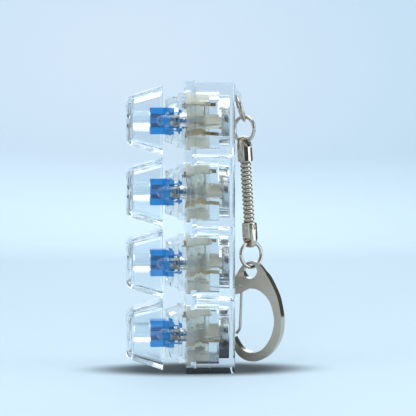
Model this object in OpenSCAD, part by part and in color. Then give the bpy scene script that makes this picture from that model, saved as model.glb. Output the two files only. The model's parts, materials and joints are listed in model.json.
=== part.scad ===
// Light-up finger exerciser: four clicky push keys in a row, in one clear case, with a clip on a short spring chain.
// The case stands on its lower end. Keys press along +X, the chain hangs behind the case, +Z is up.

/* [Case] */
// Number of keys in the row
keys = 4; // [2:1:4]
// Distance from one key to the next
pitch = 19.05; // [19.05:0.05:23]
// How much thicker the case's two end walls are than its other walls
end_extra = 0.5; // [0:0.1:1.5]
// Depth of the whole case, from the front rim to the back
case_d = 13; // [12.6:0.1:16]
// Width of the rear case across the row
case_w = 19; // [18.6:0.1:23]
// How far the front plate stands proud of the rear case
rim_step = 0.4; // [0.2:0.1:1]
// Thickness of the front plate's rim
rim_t = 2.2; // [2:0.1:3]
// Thickness of the plate that the switches snap into
web_t = 1.5; // [1.2:0.1:1.8]
// Depth of the recess that each switch flange sits in
flange_recess = 1.2; // [1:0.1:1.5]
// Inner width of each square cell
cell_w = 15.2; // [14.8:0.1:16]
// Thickness of the back wall behind the coin cells
back_t = 1.5; // [1:0.1:2]
// Diameter of the round pocket that holds a coin cell
pocket_dia = 13.6; // [12.8:0.1:14.6]
// Depth of that pocket
pocket_depth = 2.76; // [2.2:0.02:3]
// Radius of the rounded back edges
back_r = 1; // [0.4:0.1:1.6]
// Depth of the groove round the case between two cells
groove_depth = 0.45; // [0.2:0.05:0.8]

/* [Lanyard ear] */
// Distance of the ear's hole below the top of the case
ear_drop = 3.4; // [3:0.1:8]
// Thickness of the ear
ear_t = 2.2; // [1.6:0.1:2.6]
// Outer radius of the ear
ear_r = 1.9; // [1.8:0.1:2.4]
// Radius of the ear's hole
ear_hole_r = 0.75; // [0.7:0.05:0.9]

/* [Keycap] */
// Width of the cap at its open end
cap_w = 18.5; // [18:0.1:18.6]
// Width of the cap's top, along the row
cap_top_w = 13.2; // [12:0.1:14.5]
// Width of the cap's top, across the row
cap_top_l = 14; // [13:0.1:15]
// Height of the cap
cap_h = 10; // [9.5:0.1:11]
// Wall of the cap
cap_wall = 1.5; // [1.1:0.1:1.6]
// Thickness of the cap's top
cap_top_t = 1.9; // [1.4:0.1:2.4]
// Depth of the dish that the fingertip rests in
dish_depth = 0.5; // [0.3:0.05:0.8]
// Diameter of the post that grips the stem
post_dia = 5.5; // [5.2:0.1:5.6]

/* [Switch] */
// Travel of the key
travel = 4; // [3:0.1:4]
// Height of the closed switch above the plate
switch_h = 6.6; // [6.4:0.1:7]
// Depth of the lower housing below the plate's front
switch_d = 5; // [4.8:0.1:5.4]
// Width of the lower housing
body_w = 13.9; // [13.5:0.1:13.9]
// Width of the flange that stops the switch on the plate
flange_w = 15.6; // [15:0.1:15.7]
// Thickness of that flange
flange_t = 0.9; // [0.8:0.1:1]
// Diameter of the centre post under the switch
peg_dia = 4; // [3.6:0.1:4]
// Length of that post
peg_len = 3.25; // [3:0.05:3.6]
// Width of the stem, along the row
stem_w = 7.1; // [6.8:0.1:7.3]
// Width of the stem, across the row
stem_l = 6; // [5.9:0.1:6]
// How far the stem stands out of the switch
stem_out = 3.8; // [3.6:0.1:4]
// Outer diameter of the return spring
spring_dia = 4.2; // [4:0.1:4.3]
// Wire of the return spring
spring_wire = 0.4; // [0.3:0.05:0.45]
// Turns of the return spring
spring_turns = 7; // [6:1:8]

/* [Light] */
// Diameter of the LED's dome
led_dia = 3; // [2.8:0.1:3]
// Diameter of the LED's flange
led_flange_dia = 3.8; // [3.4:0.1:3.8]
// Length of the LED's plastic body
led_len = 5.3; // [4.8:0.1:5.4]
// Distance of the LED from the key's centre
led_offset = 5.08; // [5:0.02:5.16]
// Thickness of the LED's leads
lead_t = 0.45; // [0.4:0.05:0.5]
// Diameter of the coin cell
coin_dia = 12.5; // [11.6:0.1:12.6]
// Thickness of the coin cell
coin_t = 2; // [1.6:0.1:2]

/* [Chain and clip] */
// Outer diameter of the jump rings
ring_od = 7.8; // [7:0.1:8.4]
// Wire of the jump rings
ring_wire = 1; // [0.8:0.05:1.1]
// Outer diameter of the end sleeves
sleeve_dia = 4.1; // [3.7:0.1:4.4]
// Length of the end sleeves
sleeve_len = 6.9; // [6:0.1:8]
// Outer diameter of the spring chain
coil_dia = 3.1; // [2.9:0.05:3.2]
// Length of spring chain that shows between the sleeves
coil_len = 16.6; // [12:0.1:17.5]
// Wire of the spring chain, which is also its pitch
coil_wire = 1.14; // [1:0.02:1.2]
// Thickness of the clip
clip_t = 2.6; // [2.4:0.1:3.4]
// Thickness of the clip round its eye
clip_eye_t = 1.5; // [1.4:0.1:2]
// Radius of the clip's eye
clip_eye_r = 1.95; // [1.9:0.05:2]

/* [Hidden] */
$fn = 48;
slack = 0.05;      // room between pieces that fit each other
overcut = 1;       // how far a cutting shape runs past what it cuts
case_h = keys * pitch + 2 * end_extra;
front_x = -case_d / 2;
back_x = case_d / 2;
plate_x = front_x + flange_recess;
seam_x = front_x + rim_t;
web_back_x = plate_x + web_t;
floor_x = back_x - back_t;
ledge_x = floor_x - pocket_depth;
end_wall = (pitch - cell_w) / 2;
lip_inset = 1.3;   // from the rear case's outside to the plate's locating web

// Inside the switch, measured from the plate's front, outwards is positive
floor_top = 1 - switch_d;
ceiling = switch_h - 1;
shoulder_z = 3.2;
peg_end = -switch_d - peg_len;
coin_front = -(floor_x - coin_t - plate_x);
led_base = 3.45;
led_lead_x = 1.27;
led_notch_top = -2.4;
led_notch_w = 10.6;
led_wall_y = -3.2;
stem_top = switch_h + stem_out;
stem_bottom = 4.05;
cross_base = stem_top - 3.4;
cap_base = cross_base + 0.4;
post_end = cross_base + 0.1;
contact_y = 4.45;
lug_reach = 4.5;   // from the key's centre to the end of a stop lug
lug_in = 2.3;      // inner side of the two front lugs, which pass the LED
click_x = stem_w / 2 + 1.1;
click_half = 2.3;
click_u = 2;
click_wire = 0.35;
pin_a_x = 5;
pin_b_x = -3.4;
solder_z = -switch_d - 0.4;

// The chain
ear_x = back_x + 0.9;
ear_z = case_h - ear_drop;
ring_r = (ring_od - ring_wire) / 2;
link_lean = 18.2;
chain_lean = 3.6;
joint_ring_turn = -43;
clip_ring_turn = 32;
clip_turn = -27;
link_low = [ear_x + 2 * ring_r * sin(link_lean), 0, ear_z - 2 * ring_r * cos(link_lean)];
chain_dir = [sin(chain_lean), 0, -cos(chain_lean)];
joint_ring_top = link_low + [0, 0, ring_wire + slack];
hole_s = 2 * ring_r;
chain_top = joint_ring_top - [0, 0, 2 * ring_r] - hole_s * chain_dir;
dome_up = 1.6;
sleeve_hole_r = 1;
sleeve_hole_drop = sleeve_hole_r - ring_wire / 2 - 0.2;
bridge_half = 0.85;
sleeve_bore_depth = 2.2;
coil_s = hole_s + sleeve_len - dome_up;
low_sleeve_s = coil_s + coil_len;
low_hole_s = low_sleeve_s + sleeve_len - dome_up;
clip_wire_s = low_hole_s + 2 * ring_r;
clip_drop = 0.7;
coil_in = sleeve_bore_depth - 0.2;

KEY_PARTS = ["keycap", "stem", "click_bar", "return_spring", "upper_housing", "lower_housing",
    "moving_contact", "fixed_contact", "led_lens", "led_anode", "led_cathode", "coin_cell"];

// Helpers

// Places a switch piece: key 1 is the top one, local z points out of the case, local x points up
module at_key(i) translate([plate_x, 0, case_h - end_extra - pitch * (i - 0.5)]) rotate([0, -90, 0]) children();

// Places a chain piece at a distance along the hanging chain, local -z points down the chain
module on_chain(s) translate(chain_top + s * chain_dir) rotate([0, -chain_lean, 0]) children();

// A box between two corners
module box(a, b) translate(a) cube(b - a);

// Corner arc of a rounded outline
function arc(c, r, from, to, steps = 6) =
    [for (k = [0:steps]) c + r * [cos(from + (to - from) * k / steps), sin(from + (to - from) * k / steps)]];

// Rectangle centred on the origin with round corners
function round_rect(w, h, r) = concat(
    arc([w / 2 - r, h / 2 - r], r, 0, 90), arc([r - w / 2, h / 2 - r], r, 90, 180),
    arc([r - w / 2, r - h / 2], r, 180, 270), arc([w / 2 - r, r - h / 2], r, 270, 360));

// One point of a closed smooth curve through the listed points
function spline_point(p, k, t) = let (n = len(p), a = p[(k + n - 1) % n], b = p[k], c = p[(k + 1) % n], d = p[(k + 2) % n])
    0.5 * (2 * b + (c - a) * t + (2 * a - 5 * b + 4 * c - d) * t * t + (3 * b - a - 3 * c + d) * t * t * t);
function smooth_loop(p, steps = 4) =
    [for (k = [0:len(p) - 1]) for (j = [0:steps - 1]) spline_point(p, k, j / steps)];

// Case

// Outline of the rear case, seen from the side, with round back edges
function side_outline() = concat(
    [[seam_x, 0]], arc([back_x - back_r, back_r], back_r, 270, 360),
    arc([back_x - back_r, case_h - back_r], back_r, 0, 90), [[seam_x, case_h]]);

// Outline of the rear case, seen from above, with round back edges
function plan_outline() = concat(
    [[seam_x, -case_w / 2]], arc([back_x - back_r, back_r - case_w / 2], back_r, 270, 360),
    arc([back_x - back_r, case_w / 2 - back_r], back_r, 0, 90), [[seam_x, case_w / 2]]);

// V groove that runs round three sides of the case between two cells
module cell_groove(z) {
    diagonal = groove_depth * sqrt(2);
    translate([back_x, 0, z]) rotate([0, 45, 0]) cube([diagonal, case_w + 2 * overcut, diagonal], center = true);
    for (side = [-1, 1]) translate([0, side * case_w / 2, z]) rotate([45, 0, 0])
        cube([case_d + 2 * overcut, diagonal, diagonal], center = true);
}

module rear_case() {
    slot_w = 1.1;      // hollow between the walls of two cells
    slot_l = 13;
    color("aliceblue", 0.35) difference() {
        union() {
            intersection() {
                rotate([90, 0, 0]) linear_extrude(case_w + 2 * overcut, center = true) polygon(side_outline());
                linear_extrude(case_h) polygon(plan_outline());
            }
            translate([ear_x - 0.6, 0, ear_z]) rotate([90, 0, 0]) cylinder(r = ear_r, h = ear_t, center = true);
        }
        box([seam_x - overcut, lip_inset - case_w / 2, lip_inset],
            [web_back_x, case_w / 2 - lip_inset, case_h - lip_inset]);
        for (i = [1:keys]) at_key(i) {
            depth = ledge_x - plate_x;
            translate([0, 0, -depth]) linear_extrude(depth + overcut) polygon(round_rect(cell_w, cell_w, 1));
            translate([0, 0, plate_x - floor_x]) cylinder(d = pocket_dia, h = pocket_depth + overcut);
        }
        for (i = [1:keys - 1]) {
            z = end_extra + pitch * i;
            box([seam_x - overcut, -slot_l / 2, z - slot_w / 2], [ledge_x, slot_l / 2, z + slot_w / 2]);
            cell_groove(z);
        }
        translate([ear_x, 0, ear_z]) rotate([90, 0, 0]) cylinder(r = ear_hole_r, h = ear_t + overcut, center = true);
    }
}

module front_plate() {
    plate_w = case_w + 2 * rim_step;
    hole_w = body_w + 2 * slack;
    color("aliceblue", 0.35) difference() {
        union() {
            box([front_x, -plate_w / 2, 0], [seam_x, plate_w / 2, case_h + rim_step]);
            box([seam_x, lip_inset + slack - case_w / 2, lip_inset + slack],
                [web_back_x, case_w / 2 - lip_inset - slack, case_h - lip_inset - slack]);
        }
        for (i = [1:keys]) at_key(i) {
            linear_extrude(flange_recess + overcut) polygon(round_rect(flange_w + 0.3, flange_w + 0.3, 0.6));
            translate([0, 0, -web_t - overcut]) linear_extrude(web_t + 2 * overcut)
                polygon(round_rect(hole_w, hole_w, 0.1));
        }
    }
}

// Keycap

// Side outline of the cap's outside or inside: a trapezium with round upper corners
function cap_outline(w, top_w, h, r) = concat(
    [[-w / 2, 0], [w / 2, 0]], arc([top_w / 2 - r, h - r], r, 15, 90), arc([r - top_w / 2, h - r], r, 90, 165));

// Solid of the cap's outside or inside, from its outlines along and across the row
module cap_form(w, top_w, top_l, h, r) intersection() {
    rotate([90, 0, 0]) linear_extrude(w + overcut, center = true) polygon(cap_outline(w, top_w, h, r));
    rotate([90, 0, 90]) linear_extrude(w + overcut, center = true) polygon(cap_outline(w, top_l, h, r));
}

module stem_cross(w, t, h) {
    translate([-w / 2, -t / 2, 0]) cube([w, t, h]);
    translate([-t / 2, -w / 2, 0]) cube([t, w, h]);
}

module keycap(i) {
    dish_r = pow(cap_top_w / 2, 2) / (2 * dish_depth);
    inner_h = cap_h - cap_top_t;
    shrink = inner_h / cap_h;
    inner_top_w = cap_w + (cap_top_w - cap_w) * shrink - 2 * cap_wall;
    inner_top_l = cap_w + (cap_top_l - cap_w) * shrink - 2 * cap_wall;
    color("aliceblue", 0.35) at_key(i) translate([0, 0, cap_base]) difference() {
        union() {
            difference() {
                cap_form(cap_w, cap_top_w, cap_top_l, cap_h, 1.7);
                translate([0, 0, -slack]) cap_form(cap_w - 2 * cap_wall, inner_top_w, inner_top_l, inner_h, 0.9);
            }
            translate([0, 0, post_end - cap_base]) cylinder(d = post_dia, h = inner_h - post_end + cap_base + slack);
        }
        translate([0, 0, post_end - cap_base - overcut])
            stem_cross(4 + 2 * slack, 1.15 + 2 * slack, stem_top - post_end + 0.2 + overcut);
        translate([0, 0, cap_h - dish_depth + dish_r]) rotate([90, 0, 0])
            cylinder(r = dish_r, h = cap_w + overcut, center = true, $fn = 200);
    }
}

// Switch

module stem(i) {
    bore_r = post_dia / 2 + 0.1;
    notch_w = 3.6;
    retainer_top = ceiling - slack;
    color("dodgerblue") at_key(i) {
        difference() {
            box([-stem_w / 2, -stem_l / 2, stem_bottom], [stem_w / 2, stem_l / 2, stem_top]);
            translate([0, 0, cross_base]) cylinder(r = bore_r, h = stem_top);
            box([-notch_w / 2, -stem_l, cross_base], [notch_w / 2, stem_l, stem_top + overcut]);
        }
        translate([0, 0, cross_base - slack]) stem_cross(4, 1.15, stem_top - 0.1 - cross_base + slack);
        // lugs that stop the stem under the upper housing, and the cam that flicks the click bar
        box([-stem_w / 2, stem_l / 2 - slack, stem_bottom], [stem_w / 2, lug_reach - 0.3, retainer_top]);
        box([stem_w / 2 - slack, -0.7, stem_bottom], [click_x - click_wire / 2 - 0.1, 0.7, stem_bottom + 0.9]);
        for (side = [-1, 1]) {
            box([min(side * lug_in, side * stem_w / 2), -lug_reach, stem_bottom],
                [max(side * lug_in, side * stem_w / 2), slack - stem_l / 2, retainer_top]);
            // foot of the front skirt with its thin web, and the leg that works the contact
            box([min(side * 1.3, side * 2.9), -2.95, 2.5], [max(side * 1.3, side * 2.9), -2.3, 3.2]);
            box([min(side * 2.6, side * 2.9), -2.95, 2.5], [max(side * 2.6, side * 2.9), -2.3, stem_bottom + 0.5]);
            box([min(side * 1.2, side * 2.1), 2.5, 1.6], [max(side * 1.2, side * 2.1), 3.7, stem_bottom + 0.9]);
        }
        translate([0, 0, -3.4]) cylinder(r = 0.95, h = stem_bottom + 3.4 + slack);
    }
}

// Sprung wire that the stem's cam flicks past, with its two legs in the lower housing
module click_bar(i) color("silver") at_key(i) {
    h = click_wire / 2;
    for (side = [-1, 1])
        box([click_x - h, side * click_half - h, floor_top], [click_x + h, side * click_half + h, click_u + h]);
    box([click_x - h, -click_half, click_u - h], [click_x + h, click_half, click_u + h]);
}

// Points round the wire at one place on the return spring's helix
function spring_ring(a, r, wire_r, z0, rise) = [for (k = [0:5])
    let (b = k * 60, out = r + wire_r * cos(b)) [out * cos(a), out * sin(a), z0 + rise * a / 360 + wire_r * sin(b)]];

module return_spring(i) {
    steps = 12;
    wire_r = spring_wire / 2;
    low = floor_top + wire_r + slack;
    rise = (stem_bottom - wire_r - slack - low) / spring_turns;
    rings = spring_turns * steps;
    points = [for (s = [0:rings]) each spring_ring(s * 360 / steps, spring_dia / 2 - wire_r, wire_r, low, rise)];
    sides = [for (s = [0:rings - 1]) for (k = [0:5])
        [s * 6 + k, s * 6 + (k + 1) % 6, (s + 1) * 6 + (k + 1) % 6, (s + 1) * 6 + k]];
    caps = [[5, 4, 3, 2, 1, 0], [for (k = [0:5]) rings * 6 + k]];
    color("silver") at_key(i) polyhedron(points, concat(caps, sides));
}

// Frustum between two squares
module housing_form(low_w, high_w, low_z, high_z) {
    outline = [[-low_w / 2, low_z], [low_w / 2, low_z], [high_w / 2, high_z], [-high_w / 2, high_z]];
    intersection() {
        rotate([90, 0, 0]) linear_extrude(low_w + overcut, center = true) polygon(outline);
        rotate([90, 0, 90]) linear_extrude(low_w + overcut, center = true) polygon(outline);
    }
}

module upper_housing(i) {
    wall = 1;
    base_w = 14.6;
    shoulder_w = 13.4;
    top_w = 11.4;
    color("aliceblue", 0.35) at_key(i) difference() {
        union() {
            box([-base_w / 2, -base_w / 2, flange_t], [base_w / 2, base_w / 2, shoulder_z]);
            housing_form(shoulder_w, top_w, shoulder_z, switch_h);
        }
        box([wall - base_w / 2, wall - base_w / 2, 0], [base_w / 2 - wall, base_w / 2 - wall, shoulder_z - wall]);
        housing_form(shoulder_w - 2 * wall, top_w - 2 * wall, shoulder_z - wall - slack, ceiling);
        box([-stem_w / 2 - 0.2, -stem_l / 2 - 0.2, 0], [stem_w / 2 + 0.2, stem_l / 2 + 0.2, switch_h + overcut]);
        translate([0, -led_offset, 0]) cylinder(r = led_flange_dia / 2 + 0.15, h = switch_h + overcut);
        box([-led_flange_dia / 2 - 0.15, -base_w, led_base - 0.6],
            [led_flange_dia / 2 + 0.15, -led_offset, switch_h + overcut]);
    }
}

module lower_housing(i) {
    half = body_w / 2;
    cavity = 5.9;
    color("ivory", 0.8) at_key(i) difference() {
        union() {
            box([-flange_w / 2, -flange_w / 2, 0], [flange_w / 2, flange_w / 2, flange_t]);
            box([-half, -half, -switch_d], [half, half, 0.1]);
            translate([0, 0, peg_end]) cylinder(d = peg_dia, h = peg_len + 0.1);
        }
        difference() {
            box([-cavity, led_wall_y, floor_top], [cavity, cavity, flange_t + overcut]);
            translate([0, 0, floor_top - slack]) cylinder(r = 1.6, h = 2.5);
        }
        translate([0, 0, -7.7]) cylinder(r = 1.15, h = 7.7);
        for (side = [-1, 1])
            box([min(side * (lug_in - 0.2), side * (stem_w / 2 + 0.2)), -lug_reach - 0.2, stem_bottom - travel - 0.4],
                [max(side * (lug_in - 0.2), side * (stem_w / 2 + 0.2)), led_wall_y + slack, flange_t + overcut]);
        box([-led_notch_w / 2, -half - overcut, -switch_d - overcut],
            [led_notch_w / 2, led_wall_y - 1, led_notch_top]);
        for (side = [-1, 1]) translate([side * led_lead_x, -led_offset, led_notch_top - overcut])
            linear_extrude(flange_t - led_notch_top + 2 * overcut) square(lead_t + 0.15, center = true);
        for (pin = [[pin_a_x, contact_y], [pin_b_x, contact_y + 0.25]])
            box([pin.x - 0.55, pin.y - slack, -switch_d - overcut], [pin.x + 0.55, pin.y + 0.25 + slack, floor_top + 0.1]);
    }
}

// Brass blade with its tongue, and the pin that the LED is soldered to
module moving_contact(i) color("gold") at_key(i) {
    box([pin_a_x - 0.6, contact_y, floor_top], [pin_a_x + 0.6, contact_y + 0.25, 1.5]);
    box([-2.2, contact_y, 0], [pin_a_x - 0.5, contact_y + 0.15, 1]);
    box([pin_a_x - 0.5, contact_y, -switch_d - 2], [pin_a_x + 0.5, contact_y + 0.25, floor_top + 0.1]);
}

// Brass blade that the tongue meets, and the pin that reaches the coin cell's rim
module fixed_contact(i) color("gold") at_key(i) {
    y = contact_y + 0.25;
    box([pin_b_x - 1.2, y, floor_top], [pin_b_x + 0.8, y + 0.25, 1.2]);
    box([pin_b_x + 0.7, y + 0.1, 0], [pin_b_x + 2.5, y + 0.25, 1]);
    foot_y = sqrt(pow(coin_dia / 2 - 0.45, 2) - pow(pin_b_x, 2));
    box([pin_b_x - 0.5, y, coin_front - 0.2], [pin_b_x + 0.5, y + 0.25, floor_top + 0.1]);
    box([pin_b_x - 0.5, min(foot_y, y), coin_front - 0.2], [pin_b_x + 0.5, y + 0.25, coin_front + 0.05]);
}

// The parts of the two leads that the LED's body encloses: a cup on the cathode, a post on the anode
module anode_post() box([0.55, -0.3, -0.5], [led_lead_x, 0.3, 2.6]);
module cathode_cup() box([-led_lead_x, -0.35, -0.5], [0.3, 0.35, 2.2]);

module led_lens(i) color("white", 0.4) at_key(i) translate([0, -led_offset, led_base]) difference() {
    rotate_extrude() polygon(concat(
        [[0, 0], [led_flange_dia / 2, 0], [led_flange_dia / 2, 1], [led_dia / 2, 1]],
        arc([0, led_len - led_dia / 2], led_dia / 2, 0, 90)));
    anode_post();
    cathode_cup();
}

// Lead that runs along the switch's underside to the moving contact's pin
module led_anode(i) color("silver") at_key(i) {
    h = lead_t / 2;
    bend_z = led_notch_top - 1.4;
    y = -led_offset;
    translate([0, y, led_base]) anode_post();
    box([led_lead_x - h, y - h, bend_z - h], [led_lead_x + h, y + h, led_base]);
    box([led_lead_x - h, y - h, bend_z - h], [pin_a_x + h, y + h, bend_z + h]);
    box([pin_a_x - h, y - h, solder_z - h], [pin_a_x + h, y + h, bend_z + h]);
    box([pin_a_x - h, y - h, solder_z - h], [pin_a_x + h, contact_y, solder_z + h]);
}

// Straight lead that touches the coin cell's cap
module led_cathode(i) color("silver") at_key(i) {
    h = lead_t / 2;
    translate([0, -led_offset, led_base]) cathode_cup();
    box([-led_lead_x - h, -led_offset - h, coin_front], [h - led_lead_x, h - led_offset, led_base]);
}

module coin_cell(i) color("silver") at_key(i) translate([0, 0, coin_front - coin_t]) rotate_extrude() polygon([
    [0, 0], [coin_dia / 2 - 0.2, 0], [coin_dia / 2, 0.2], [coin_dia / 2, coin_t - 0.35],
    [coin_dia / 2 - 0.25, coin_t - 0.2], [coin_dia / 2 - 0.85, coin_t - 0.2], [coin_dia / 2 - 0.95, coin_t], [0, coin_t]]);

// Chain

// Split ring that hangs from its top at the origin, turned about the chain
module jump_ring(turn) color("silver") rotate([0, 0, turn]) translate([0, 0, -ring_r]) rotate([90, 0, 0])
    rotate([0, 0, 1.2]) rotate_extrude(angle = 357.6) translate([ring_r, 0]) circle(d = ring_wire, $fn = 24);

module link_ring() translate([ear_x, 0, ear_z]) rotate([0, -link_lean, 0]) jump_ring(90);

module joint_ring() translate(joint_ring_top) jump_ring(joint_ring_turn);

module clip_ring() on_chain(low_hole_s) jump_ring(clip_ring_turn);

// End sleeve with its ring hole at the origin, open end down, bridge turned to suit its ring
module sleeve(turn) color("silver") rotate([0, 0, turn]) difference() {
    r = sleeve_dia / 2;
    low = dome_up - sleeve_len;
    rotate_extrude() polygon(concat([[0, low], [r - 0.15, low], [r, low + 0.15]], arc([0, dome_up - r], r, 0, 90, 10)));
    for (side = [-1, 1]) translate([side * (bridge_half + 2), 0, 0.3]) rotate([90, 0, 0])
        cylinder(r = 2, h = sleeve_dia + overcut, center = true);
    translate([0, 0, -sleeve_hole_drop]) rotate([0, 90, 0]) cylinder(r = sleeve_hole_r, h = sleeve_dia, center = true);
    translate([0, 0, low - overcut]) cylinder(r = coil_dia / 2 + slack, h = sleeve_bore_depth + overcut);
}

module upper_sleeve() on_chain(hole_s) sleeve(joint_ring_turn);

module lower_sleeve() on_chain(low_hole_s) rotate([180, 0, 0]) sleeve(-clip_ring_turn);

// Close-wound coil, drawn as its turns side by side on one tube
module spring_chain() color("silver") on_chain(coil_s - coil_in) {
    wire_r = coil_wire / 2;
    turns = floor((coil_len + 2 * coil_in) / coil_wire);
    length = coil_len + 2 * coil_in;
    step = (length - coil_wire) / (turns - 1);
    mean_r = coil_dia / 2 - wire_r;
    rotate([180, 0, 0]) rotate_extrude() {
        for (k = [0:turns - 1]) translate([mean_r, wire_r + step * k]) circle(r = wire_r + 0.01, $fn = 24);
        translate([mean_r - 0.35, wire_r]) square([0.6, length - coil_wire]);
    }
}

// Clip

// Outlines of the clip, from the eye's centre: the hook from the eye's left side round to the nose, and back inside
hook_points = [
    [-5.4, -4.4], [-5.3, -3], [-4.4, -1.3], [-3.3, 0.4], [-2, 1.6], [0.2, 2.35], [2, 1.8], [3.3, 0.4],
    [5, -2.1], [6.3, -4.8], [7.4, -7.8], [8, -11.6], [8.1, -14], [7.7, -17], [6.7, -19.6], [4.8, -22.2],
    [2.3, -24.1], [-0.5, -24.9], [-3.3, -24.4], [-5.2, -23], [-6.1, -21.4], [-6.5, -19.8], [-6.4, -18.6],
    [-6.1, -18.2], [-5.7, -19], [-4.6, -20.8], [-2.9, -22.1], [-0.5, -22.5], [1.7, -21.8], [3.7, -19.9],
    [5.1, -17.5], [5.95, -14.5], [5.85, -11.8], [5.1, -8.9], [3.6, -6.7], [1.7, -5.4], [-0.4, -5],
    [-2.4, -5.6], [-3.8, -6.3], [-4.8, -6.5], [-5.4, -5.7]];
eye_at = [-0.2, -0.4];
gate_pivot = [-3.05, -4.25];
gate_low = [-4.6, -16];
gate_end = [-5.75, -17.3];
gate_w = 0.9;
gate_t = 1;
gate_pin_r = 0.4;
gate_eye_r = 0.85;

// Places a clip piece: local x across the clip, local y up, local z through it
module on_clip() on_chain(clip_wire_s) rotate([0, 0, clip_turn]) translate([0, 0, -clip_drop]) rotate([90, 0, 0])
    children();

// Thins the clip round its eye, on both faces, with a ramp to full thickness
module eye_relief(side) {
    low = clip_eye_t / 2;
    high = clip_t / 2 + 0.01;
    profile = [[-1.6, high], [-2.6, high + overcut], [5, high + overcut], [5, low], [-0.6, low]];
    rotate([0, 90, 0]) rotate([0, 0, 90]) linear_extrude(20, center = true)
        polygon([for (p = profile) [p.x, side * p.y]]);
}

module clip_body() color("silver") on_clip() difference() {
    linear_extrude(clip_t, center = true) polygon(smooth_loop(hook_points));
    translate([eye_at.x, eye_at.y, 0]) cylinder(r = clip_eye_r, h = clip_t + overcut, center = true);
    for (side = [-1, 1]) eye_relief(side);
    box([-4.6, -7, -gate_t / 2 - 0.15], [-1, gate_pivot.y + gate_eye_r + 0.15, gate_t / 2 + 0.15]);
    translate([gate_pivot.x, gate_pivot.y, 0]) cylinder(r = gate_pin_r + 0.02, h = clip_t + overcut, center = true, $fn = 24);
}

// Flat bar between two points of the gate, with round ends
module gate_bar(a, b) {
    d = b - a;
    translate([a.x, a.y, -gate_t / 2]) rotate([0, 0, atan2(d.y, d.x)])
        translate([0, -gate_w / 2, 0]) cube([norm(d), gate_w, gate_t]);
}

module clip_gate() color("silver") on_clip() difference() {
    union() {
        translate([gate_pivot.x, gate_pivot.y, 0]) cylinder(r = gate_eye_r, h = gate_t, center = true);
        gate_bar(gate_pivot, gate_low);
        translate([gate_low.x, gate_low.y, 0]) cylinder(d = gate_w + 0.06, h = gate_t, center = true);
        gate_bar(gate_low, gate_end);
    }
    translate([gate_pivot.x, gate_pivot.y, 0]) cylinder(r = gate_pin_r + slack, h = gate_t + overcut, center = true);
}

module gate_pin() color("silver") on_clip() translate([gate_pivot.x, gate_pivot.y, 0])
    cylinder(r = gate_pin_r, h = clip_t, center = true);

rear_case();
front_plate();
link_ring();
joint_ring();
upper_sleeve();
spring_chain();
lower_sleeve();
clip_ring();
clip_body();
clip_gate();
gate_pin();
for (i = [1:keys]) {
    keycap(i);
    stem(i);
    click_bar(i);
    return_spring(i);
    upper_housing(i);
    lower_housing(i);
    moving_contact(i);
    fixed_contact(i);
    led_lens(i);
    led_anode(i);
    led_cathode(i);
    coin_cell(i);
}
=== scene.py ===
import json
from math import cos, pi, radians, sin

import bmesh
import bpy
from mathutils import Matrix, Vector


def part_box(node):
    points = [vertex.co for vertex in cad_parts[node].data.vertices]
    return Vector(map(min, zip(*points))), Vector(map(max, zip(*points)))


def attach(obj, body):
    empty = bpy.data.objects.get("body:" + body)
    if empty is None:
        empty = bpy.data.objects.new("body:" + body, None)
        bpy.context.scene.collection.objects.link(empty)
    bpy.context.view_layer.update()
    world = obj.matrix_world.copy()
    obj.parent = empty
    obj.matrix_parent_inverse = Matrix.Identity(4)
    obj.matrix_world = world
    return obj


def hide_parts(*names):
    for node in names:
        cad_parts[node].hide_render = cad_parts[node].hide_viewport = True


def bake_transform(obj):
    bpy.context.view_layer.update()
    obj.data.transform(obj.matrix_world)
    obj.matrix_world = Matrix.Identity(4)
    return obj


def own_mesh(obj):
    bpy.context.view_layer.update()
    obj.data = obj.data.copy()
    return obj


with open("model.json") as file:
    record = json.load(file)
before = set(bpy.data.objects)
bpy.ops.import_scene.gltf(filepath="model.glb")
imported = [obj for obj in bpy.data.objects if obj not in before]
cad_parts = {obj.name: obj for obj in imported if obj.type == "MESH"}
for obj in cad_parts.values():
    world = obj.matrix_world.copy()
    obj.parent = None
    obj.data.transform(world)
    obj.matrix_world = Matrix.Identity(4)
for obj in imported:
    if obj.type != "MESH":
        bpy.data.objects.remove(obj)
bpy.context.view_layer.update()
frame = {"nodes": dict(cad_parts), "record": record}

# ------------------------------------------------------------------ the studio
# A pale sweep: a floor that curves up into a wall all the way round, like the paper
# sweep a small product stands on. Large soft lamps light it from the left and above.

MM = 0.001


def linear(hex_value):
    """An sRGB hex colour as the linear colour that shaders take."""
    parts = [int(hex_value[n:n + 2], 16) / 255 for n in (1, 3, 5)]
    return [*(c / 12.92 if c <= 0.04045 else ((c + 0.055) / 1.055) ** 2.4 for c in parts), 1.0]


def add(tree, kind, settings=None, links=None, **values):
    """Adds one node: its attributes, then sockets linked from other nodes, then plain values by name."""
    made = tree.nodes.new(kind)
    for key, value in (settings or {}).items():
        setattr(made, key, value)
    for key, value in values.items():
        made.inputs[key.replace("_", " ")].default_value = value
    for key, source in (links or {}).items():
        tree.links.new(source, made.inputs[key])
    return made


def new_material(name):
    """An empty material with its output node."""
    made = bpy.data.materials.new(name)
    made.use_nodes = True
    made.node_tree.nodes.clear()
    return made, made.node_tree, made.node_tree.nodes.new("ShaderNodeOutputMaterial")


SWEEP_R = 1.1
SWEEP_COVE = 0.5
SWEEP_TOP = 1.5

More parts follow.
